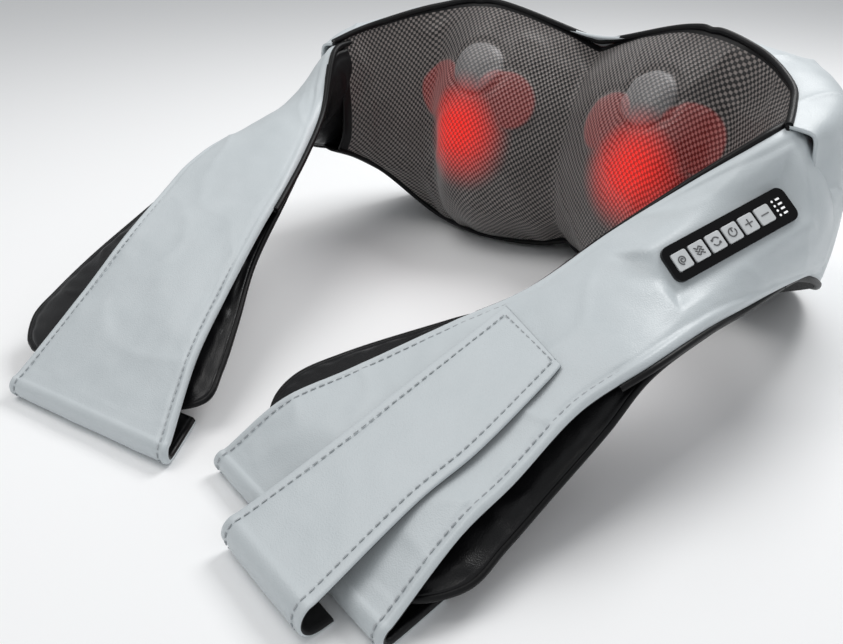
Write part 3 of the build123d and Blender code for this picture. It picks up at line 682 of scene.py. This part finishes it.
def rear_shape(grid):
    """Quilts the back cover: wrinkles, an upright seam each side and a seam above the base."""
    facing = normals(grid)
    facing *= np.sign(facing[MIDDLE][1])
    x = np.abs(grid[..., 0])
    z = grid[..., 2]
    move = np.zeros(grid.shape[:2])
    move -= 2.2 * MM * np.exp(-((x - REAR_SEAM_X) / 0.0035) ** 2)
    move += 1.4 * MM * np.exp(-((x - REAR_SEAM_X) / 0.016) ** 2)
    move -= 1.8 * MM * np.exp(-((z - HEM_SEAM_Z) / 0.003) ** 2) * (x < 0.17)
    for i in range(grid.shape[0]):
        s = i / (grid.shape[0] - 1)
        end = min(s, 1 - s)
        for j in range(grid.shape[1]):
            p = grid[i, j]
            v = j / (grid.shape[1] - 1)
            soft = 1.6 * MM * wavy(p, 20, 1.7) + 0.5 * MM * wavy(p, 70, 4.2)
            fold = creased(p, 18, 9.5) ** 4 * 1.6 * MM
            gather = math.exp(-((end - 0.16) / 0.08) ** 2) * math.exp(-(v / 0.35) ** 2)
            pleat = math.sin(p[2] * 260 + 20 * p[0]) * gather * 1.0 * MM
            edge = min(1.0, v / 0.05, (1 - v) / 0.04)
            tuck = 3.0 * MM * math.exp(-(end / 0.03) ** 2) * math.sin(math.pi * v)
            move[i, j] += (soft + fold + pleat) * max(edge, 0.0) - tuck
    return grid + facing * move[..., None], facing


rear, rear_facing = rear_shape(rear)
rear_sign = outward_sign(rear, rear_facing)
back_face = shell("neck_back_face", rear, COVER_THICK, rear_sign, [GREY])

ridge = (front[:, 0] + rear[:, 0]) / 2
ridge_pipe = sweep("neck_top_piping", ridge, 2.3 * MM, PIPING)
front_foot_pipe = sweep("neck_front_piping", front[:, -1], 2.0 * MM, PIPING)
rear_foot_pipe = sweep("neck_rear_piping", rear[:, -1], 2.2 * MM, PIPING)

# Underside: a padded panel between the two feet
UNDER_COLUMNS = 14
UNDER_SAG = 3.5 * MM
feet = []
for i in range(0, ALONG, 2):
    lift = min(front[i, -1, 2], rear[i, -1, 2])
    across = np.linspace(0, 1, UNDER_COLUMNS)[:, None]
    row = front[i, -1] * (1 - across) + rear[i, -1] * across
    dip = np.sin(across[:, 0] * math.pi) ** 0.5
    row[:, 2] -= dip * min(UNDER_SAG, max(lift - 0.4 * MM, 0))
    feet.append(row)
feet = np.array(feet)
feet_sign = 1 if normals(feet)[len(feet) // 2, UNDER_COLUMNS // 2, 2] < 0 else -1
under_face = shell("neck_base_face", feet, MESH_THICK, feet_sign, [CLOTH])

for piece, cad, finish in (
    (mesh_face, "neck_mesh_cover", "brown_mesh"),
    (back_face, "neck_back_cover", "grey_leather"),
    (under_face, "base_panel", "black_fabric"),
    (ridge_pipe, None, "black_leather"),
    (front_foot_pipe, None, "black_leather"),
    (rear_foot_pipe, None, "black_leather"),
):
    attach(piece, "neck")
    if cad:
        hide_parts(cad)

# ---------------------------------------------------------------- arms
# Stations (inner edge, outer edge, puff above, puff below) of an arm's top strip and of
# its under pad, in millimetres; x is mirrored for the left arm.
# Both arms leave the neck section alike
TOP_START = [
    ((176, -134, 164), (200, -104, 58), 8, 1),
    ((175, -146, 163), (202, -124, 66), 14, 1),
    ((171, -167, 160), (201, -156, 76), 15.5, 1),
]
PAD_START = [
    ((173, -150, 160), (201, -142, 70), 2, 13),
    ((171, -167, 158), (200, -162, 77), 2, 13),
]
ARMS = {
    "right": {
        "side": 1,
        "top": TOP_START + [
            ((141, -197, 134), (193, -220, 82), 12, 1),
            ((113, -232, 107), (187, -262, 85), 9, 1),
            ((90, -280, 82), (178, -309, 82), 4.5, 0),
            ((66, -319, 69), (161, -341, 66), 1.2, 0),
            ((34, -369, 50), (153, -386, 46), 0.6, 0),
            ((12, -400, 37), (147, -418, 34), 0.5, 0),
        ],
        "pad": PAD_START + [
            ((141, -197, 132), (193, -220, 80), 2, 12),
            ((113, -232, 104), (187, -262, 82), 1.5, 11),
            ((90, -280, 76), (178, -309, 75), 0.5, 11),
            ((52, -303, 57), (170, -330, 52), 7, 7.5),
            ((7, -345, 37), (162, -366, 31), 8, 8.5),
            ((-9, -372, 28), (159, -400, 21), 8, 8.5),
            ((-5, -393, 22), (157, -424, 16), 7.5, 8),
            ((14, -408, 17), (142, -443, 13), 6, 6),
            ((26, -413.5, 15.5), (130, -447, 12.5), 2.5, 2.5),
        ],
        "tip": ((-8, -437), (143, -468)),
    },
    "left": {
        "side": -1,
        "top": TOP_START + [
            ((149, -205, 124), (212, -214, 96), 12, 1),
            ((127, -245, 107), (211, -252, 99), 9.5, 1),
            ((106, -285, 95), (200, -293, 95), 4.5, 0),
            ((92, -320, 81), (187, -332, 83), 1.6, 0),
            ((74, -368, 56), (175, -372, 68), 0.8, 0),
            ((58, -404, 38), (170, -408, 46), 0.5, 0),
        ],
        "pad": PAD_START + [
            ((149, -205, 122), (212, -214, 94), 2, 12),
            ((127, -245, 104), (211, -252, 96), 1.5, 11),
            ((106, -285, 89), (200, -293, 88), 0.5, 11),
            ((89, -331, 62), (203, -338, 68), 7, 7.5),
            ((66, -368, 41), (205, -381, 49), 8, 8.5),
            ((50, -395, 27), (206, -410, 34), 8, 8.5),
            ((42, -413, 20), (204, -428, 25), 7.5, 8),
            ((56, -428, 16), (190, -442, 18), 6, 6),
            ((68, -432.5, 15), (178, -446, 17), 2.5, 2.5),
        ],
        "tip": ((28, -453), (162, -474)),
    },
}
# in millimetres: the band's thickness, the height of its fold, the length turned under it,
# and the radius of its edges
BAND = 4.5
BAND_FOLD = 15.0
BAND_RETURN = 42.0
EDGE = 2.25
TOP_HALF = 52  # points across each face of a top strip
PAD_HALF = 40
PIPE_R = 2.0 * MM


def fold_points(last, tip, ends, high, radius, thick):
    """Edge points of a strip that turns under at its tip: (x, y, z) in millimetres."""
    run = np.array(tip[:2], float) - np.array(last[:2], float)
    run /= np.linalg.norm(run)
    made = []
    ahead, back = ends
    turn = radius - thick / 2
    for angle in (0, 30, 60, 90, 120, 150, 180):
        a = math.radians(angle)
        u = ahead + turn * math.sin(a)
        z = high - thick / 2 - turn + turn * math.cos(a)
        made.append((*(np.array(tip[:2]) + run * u), z))
    made.append((*(np.array(tip[:2]) + run * back), thick / 2))
    return made


def strip_frames(inner, outer, side):
    """Middle, half-width direction and upward normal of each section of a strip."""
    middle = (inner + outer) / 2
    ahead = np.gradient(middle, axis=0)
    across = (outer - inner) / 2
    up = -side * np.cross(across, ahead)
    up /= np.maximum(np.linalg.norm(up, axis=1, keepdims=True), 1e-12)
    return middle, across, up


def lens_rings(inner, outer, above, below, side, edge, shape, wrinkle, half):
    """Rings of a soft strip: rounded edges, puffed above and below its middle plane."""
    middle, across, up = strip_frames(inner, outer, side)
    turn = np.linspace(-math.pi / 2, math.pi / 2, half)
    q_top = np.sin(turn)
    rings = []
    for m, a, n, high, low in zip(middle, across, up, above, below):
        width = np.linalg.norm(a)
        ring = []
        for over, puff, qs in ((1, high, q_top), (-1, low, q_top[::-1][1:-1])):
            for q in qs:
                gap = (1 - abs(q)) * width
                rim = edge * math.sqrt(max(0.0, 1 - max(0.0, 1 - gap / edge) ** 2))
                rise = rim + puff * max(0.0, 1 - abs(q) ** shape) ** 0.75
                p = m + a * q
                facing = n * over
                ring.append(p + facing * (rise + wrinkle(p, facing, gap)))
        rings.append(ring)
    return np.array(rings)


def top_pick(half):
    """First material for the top face of a strip's rings, second for its underside."""
    return lambda i, j: 0 if j < half - 1 or j > 2 * half - 4 else 1


def on_strip(inner, outer, side, margin, lift, from_outer):
    """Line at a fixed distance from one edge of a strip, raised by lift."""
    middle, across, up = strip_frames(inner, outer, side)
    width = np.linalg.norm(across, axis=1, keepdims=True)
    q = 1 - margin / width
    return middle + across * (q if from_outer else -q) + up * lift


def joint_named(name):
    return next(joint for joint in frame["joints"] if joint["name"] == name)


def centre_of(cad):
    low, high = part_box(cad)
    return np.array((low + high) / 2)


SEAM = 5.5 * MM  # from a strip's edge to its row of stitches
# Half size of the flat seat under the control panel, the width of the slope round it, how far
# it lies below the bezel's centre, and how near a point must be to belong to it
SEAT_HALF = (0.0445, 0.012)
SEAT_SLOPE = 0.012
SEAT_DROP = 0.0016
SEAT_REACH = 0.02
panel_axis = np.array(joint_named("mode_button_press")["axis"], float)
panel_x = centre_of("minus_button") - centre_of("mode_button")
panel_x -= panel_axis * np.dot(panel_x, panel_axis)
panel_x /= np.linalg.norm(panel_x)
panel_y = np.cross(panel_axis, panel_x)
panel_c = centre_of("control_bezel")


def by_panel(p):
    """Place in the control panel's frame."""
    d = p - panel_c
    return np.dot(d, panel_x), np.dot(d, panel_y), np.dot(d, panel_axis)


def seat_panel(rings):
    """Flattens a strip's top face under the control panel."""
    for i in range(rings.shape[0]):
        for j in range(TOP_HALF):
            px, py, pz = by_panel(rings[i, j])
            away = max(abs(px) - SEAT_HALF[0], abs(py) - SEAT_HALF[1], 0.0)
            if away < SEAT_SLOPE and abs(pz) < SEAT_REACH:
                t = 1 - away / SEAT_SLOPE
                t = t * t * (3 - 2 * t)
                rings[i, j] += panel_axis * (-SEAT_DROP - pz) * t


for name, arm in ARMS.items():
    side = arm["side"]
    body = f"{name}_arm"
    hinge = joint_named(f"{name}_arm_lift")
    pivot = np.array(hinge["pos_m"], float)
    axle = np.array(hinge["axis"], float)
    ahead = np.cross(axle, (0, 0, 1))
    ahead *= -np.sign(ahead[1])

    # top strip: shoulder, band and the fold under its tip
    rows = []
    for inner, outer, above, below in arm["top"]:
        rows.append((*inner, *outer, above, below))
    last_in, last_out = arm["top"][-1][:2]
    tip_in, tip_out = arm["tip"]
    ends = (-BAND_FOLD / 2, -BAND_RETURN)
    inner_fold = fold_points(last_in, tip_in, ends, BAND_FOLD, BAND_FOLD / 2, BAND)
    outer_fold = fold_points(last_out, tip_out, ends, BAND_FOLD, BAND_FOLD / 2, BAND)
    for a, b in zip(inner_fold, outer_fold):
        rows.append((*a, *b, 0.2, 0.0))
    table = smooth(rows, 300)
    table[:, [0, 3]] *= side
    table[:, :8] *= MM
    inner, outer = table[:, 0:3], table[:, 3:6]

    def top_wrinkle(p, n, gap, side=side):
        if n[2] < -0.2 and p[2] > 0.02:
            return 0.0
        fade = min(1.0, gap / 0.006)
        groove = -0.75 * MM * math.exp(-((gap - SEAM) / (1.3 * MM)) ** 2)
        hem = 0.35 * MM * math.exp(-((gap - 2.6 * MM) / (1.8 * MM)) ** 2)
        puff = 0.9 * MM * wavy(p, 24, 2.0 + side) + 0.45 * MM * wavy(p, 75, 6.0)
        tug = 0.35 * MM * math.sin(gap * 900 + wavy(p, 60, 3) * 4) * math.exp(-(gap / 0.02) ** 2)
        rise = p[2] / 0.16
        fold = creased(p, 17, 12.5 + side) ** 4 * (0.5 + 0.9 * rise) * MM
        calm = 0.35 if p[2] < 0.016 else 1.0
        return groove + hem + fade * (puff + tug * wavy(p, 90, 1) + fold) * calm

    rings = lens_rings(inner, outer, table[:, 6], table[:, 7], side, EDGE * MM, 2.0,
                       top_wrinkle, TOP_HALF)
    if name == "right":
        seat_panel(rings)
    top = tube(f"{name}_arm_top", rings, [GREY, BLACK], top_pick(TOP_HALF), outward=side)

    # under pad
    rows = [(*a, *b, up, down) for a, b, up, down in arm["pad"]]
    table = smooth(rows, 220)
    table[:, [0, 3]] *= side
    table[:, :8] *= MM
    pad_in, pad_out = table[:, 0:3], table[:, 3:6]

    def pad_wrinkle(p, n, gap, side=side):
        fade = min(1.0, gap / 0.008)
        groove = -0.9 * MM * math.exp(-((gap - 0.0035) / 0.0012) ** 2)
        puff = 1.1 * MM * wavy(p, 28, 5.0 + side) + 0.5 * MM * wavy(p, 80, 2.0)
        pull = 0.5 * MM * math.sin(p[1] * 420 + wavy(p, 30, 4) * 5) * math.exp(-(gap / 0.014) ** 2)
        return groove + fade * (puff + pull + creased(p, 24, 3.5) ** 4 * 0.8 * MM)

    pad_rings = lens_rings(pad_in, pad_out, table[:, 6], table[:, 7], side, 1.6 * MM, 2.4,
                           pad_wrinkle, PAD_HALF)
    pad_rings[..., 2] = np.maximum(pad_rings[..., 2], 0.6 * MM)  # clear of the table
    under = tube(f"{name}_arm_under", pad_rings, [BLACK], outward=side)

    # piping round the pad's edge
    pad_from = int(np.argmax(pad_in[:, 1] < -0.175))
    pad_to = int(np.argmax(pad_out[:, 1] < -0.175))
    end_in, end_out = pad_in[-1], pad_out[-1]
    tip_line = smooth([end_in, (end_in + end_out) / 2, end_out], 12)[1:-1]
    loop = np.concatenate([pad_in[pad_from:], tip_line, pad_out[pad_to:][::-1]])
    pipe = sweep(f"{name}_pad_piping", loop, 1.9 * MM, PIPING)

    # piping under the strip's two edges, where they meet the black lining
    seam = on_strip(inner, outer, side, -0.6 * MM, -2.0 * MM, False)
    seam = seam[(seam[:, 1] > pivot[1] - 0.012) & (seam[:, 1] < -0.145)]
    seam_pipe = sweep(f"{name}_inner_piping", seam, 2.4 * MM, PIPING)
    rim = on_strip(inner, outer, side, -0.6 * MM, -2.0 * MM, True)
    rim = rim[(rim[:, 1] > pivot[1] - 0.03) & (rim[:, 1] < -0.130)]
    rim_pipe = sweep(f"{name}_outer_piping", rim, PIPE_R, PIPING)

    # stitching on the band
    lines = []
    for from_outer in (False, True):
        line = on_strip(inner, outer, side, SEAM, (EDGE + 0.05) * MM, from_outer)
        keep = line[:, 2] < (0.088 if name == "right" else 0.10)
        keep &= np.arange(len(line)) < len(line) - 12
        lines.append(line[keep])
    thread = stitches(f"{name}_band_stitches", lines, THREAD)

    for piece in (top, under, pipe, thread, seam_pipe, rim_pipe):
        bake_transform(piece)
    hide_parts(f"{name}_shoulder_cover", f"{name}_hand_band")
    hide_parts(f"{name}_shoulder_lining", f"{name}_arm_pad")

# ---------------------------------------------------------------- closure strap
# in millimetres: thickness, height above the band, height of the fold and its reach ahead
STRAP = 2.4
STRAP_LIFT = 6.6
STRAP_TOP = 20.55
STRAP_AHEAD = 13.0
STRAP_HALF = 44
# the part of the band's width that the strap covers, at the band's last three stations
SPAN = [(0.21, 0.78), (0.32, 0.82), (0.38, 0.82)]
FLAP_END = ((91, -302, 76.0), (141, -327, 70.5))
band_rows = ARMS["right"]["top"][-3:]


def strap_rows(inset, lift):
    """Edges of a strip laid on the band's top at a height, as rows for smooth()."""
    made = [tuple(np.array(p) + np.array((0, -0.25, 0.93)) * lift for p in FLAP_END)]
    for (inner, outer, *_), (low, high) in zip(band_rows, SPAN):
        a = np.array(inner, float)
        b = np.array(outer, float)
        raise_by = np.array((0, -0.3, 0.93)) * lift
        near = a + (b - a) * (low + inset) + raise_by
        far = a + (b - a) * (high - inset) + raise_by
        made.append((near, far))
    return made


rows = strap_rows(0.0, STRAP_LIFT)
tip_a = np.array(ARMS["right"]["tip"][0], float)
tip_b = np.array(ARMS["right"]["tip"][1], float)
low, high = SPAN[-1]
tips = (tip_a + (tip_b - tip_a) * low, tip_a + (tip_b - tip_a) * high)
ends = (STRAP_AHEAD, STRAP_AHEAD - 8)
folds = [
    fold_points(edge, tip, ends, STRAP_TOP, STRAP_TOP / 2, STRAP)
    for edge, tip in zip(rows[-1], tips)
]
rows += [(np.array(a), np.array(b)) for a, b in zip(*folds)]
table = smooth([np.concatenate(r) for r in rows], 200) * MM
strap_in, strap_out = table[:, 0:3], table[:, 3:6]


def strap_wrinkle(p, n, gap):
    fade = min(1.0, gap / 0.006)
    groove = -0.5 * MM * math.exp(-((gap - SEAM) / (1.2 * MM)) ** 2)
    return groove + fade * (0.5 * MM * wavy(p, 34, 7.0) + 0.25 * MM * wavy(p, 90, 9.0))


flat = np.full(len(table), 0.5 * MM)
rings = lens_rings(strap_in, strap_out, flat, flat * 0, 1, STRAP / 2 * MM, 2.0,
                   strap_wrinkle, STRAP_HALF)
strap = tube("strap_cover", rings, [GREY, CLOTH], top_pick(STRAP_HALF), outward=1)
lines = []
for from_outer in (False, True):
    line = on_strip(strap_in, strap_out, 1, SEAM, (STRAP / 2 + 0.35) * MM, from_outer)
    lines.append(line[4:-20])
lines.append(np.linspace(lines[0][0], lines[1][0], 30))
strap_thread = stitches("strap_stitches", lines, THREAD)

peel = joint_named("strap_peel")
pivot = np.array(peel["pos_m"], float)
out = np.cross(np.array(peel["axis"], float), (0, 0, 1))
out *= np.sign(-out[1])
for piece in (strap, strap_thread):
    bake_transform(piece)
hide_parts("strap_flap", "strap_fold")

# hook and loop patches, on the flap's underside and on the band
PATCHES = (("strap_loop_patch", 3.0, "right_arm"), ("strap_hook_patch", 4.7, "strap"))


def nap(p, n, gap):
    return 0.12 * MM * wavy(p, 700, 1)


for cad, lift, body in PATCHES:
    rows = strap_rows(0.07, lift)
    table = smooth([np.concatenate(r) for r in rows], 90)[12:55] * MM
    patch_in, patch_out = table[:, 0:3], table[:, 3:6]
    thin = np.zeros(len(table))
    rings = lens_rings(patch_in, patch_out, thin, thin, 1, 0.4 * MM, 2.0, nap, PAD_HALF)
    patch = tube(cad + "_nap", rings, [CLOTH], outward=1)
    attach(patch, body)
    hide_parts(cad)

# ---------------------------------------------------------------- icons on the buttons
ICON_SIZE = 0.78 * MM  # one unit of the drawings below
ICON_LIFT = 0.05 * MM
STROKE_R = 0.38 * MM
BUTTONS = ["mode_button", "knead_button", "direction_button", "heat_button", "plus_button",
           "minus_button"]


def arc(radius, start, end, count=18):
    made = []
    for k in range(count):
        a = math.radians(start + (end - start) * k / (count - 1))
        made.append((radius * math.cos(a), radius * math.sin(a)))
    return made


def spiral():
    made = []
    for k in range(40):
        a = math.radians(k * 16)
        r = 0.5 + 2.9 * k / 39
        made.append((r * math.cos(a), r * math.sin(a)))
    return made


def ripple(y):
    return [(x, y + 0.8 * math.sin(x * 1.6)) for x in np.linspace(-3.2, 3.2, 24)]


def arrow(tip, angle):
    a = math.radians(angle)
    ends = []
    for spread in (150, -150):
        b = a + math.radians(spread)
        ends.append((tip[0] + 1.5 * math.cos(b), tip[1] + 1.5 * math.sin(b)))
    return [ends[0], tip, ends[1]]


UPPER = arc(3.0, 20, 160)
LOWER = arc(3.0, 200, 340)
ICONS = [
    [spiral()],
    [ripple(2.2), ripple(0.0), ripple(-2.2)],
    [UPPER, arrow(UPPER[-1], 250), LOWER, arrow(LOWER[-1], 70)],
    [arc(3.1, 60, 390, 30), [(0.0, 0.2), (0.0, 3.4)]],
    [[(-3.2, 0), (3.2, 0)], [(0, -3.2), (0, 3.2)]],
    [[(-3.2, 0), (3.2, 0)]],
]
for cad, strokes in zip(BUTTONS, ICONS):
    corners = np.array([v.co for v in frame["nodes"][cad].data.vertices], float)
    level = max((corners - panel_c) @ panel_axis)
    c = centre_of(cad) - panel_c
    cx, cy = np.dot(c, panel_x), np.dot(c, panel_y)
    parts = []
    for stroke in strokes:
        path = []
        for sx, sy in stroke:
            right = panel_x * (cx + sx * ICON_SIZE)
            up = panel_y * (cy + sy * ICON_SIZE)
            path.append(panel_c + right + up + panel_axis * (level + ICON_LIFT))
        if len(path) < 4:
            runs = [np.linspace(a, b, 4) for a, b in zip(path, path[1:])]
            path = np.concatenate(runs)
        parts.append(sweep("stroke", path, STROKE_R, ICON_PAINTED_SHADE, sides=6))
    base = parts[0]
    if len(parts) > 1:
        with bpy.context.temp_override(active_object=base, selected_editable_objects=parts,
                                       selected_objects=parts):
            bpy.ops.object.join()
    base.name = cad.replace("button", "icon")
    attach(base, cad)


# ---------------------------------------------------------------- floor
FLOOR_HALF = 6
FLOOR_DROP = 0.0005


def plain_floor():
    mat, tree, shader = material("pale_floor")
    shader.inputs["Base Color"].default_value = (0.93, 0.935, 0.94, 1)
    shader.inputs["Roughness"].default_value = 0.9
    shader.inputs["Specular IOR Level"].default_value = 0.1
    return mat


square = ((-1, -1), (1, -1), (1, 1), (-1, 1))
floor = mesh_object("floor", [(x * FLOOR_HALF, y * FLOOR_HALF, 0) for x, y in square],
                    [(0, 1, 2, 3)], [plain_floor()])
floor.location.z = -FLOOR_DROP
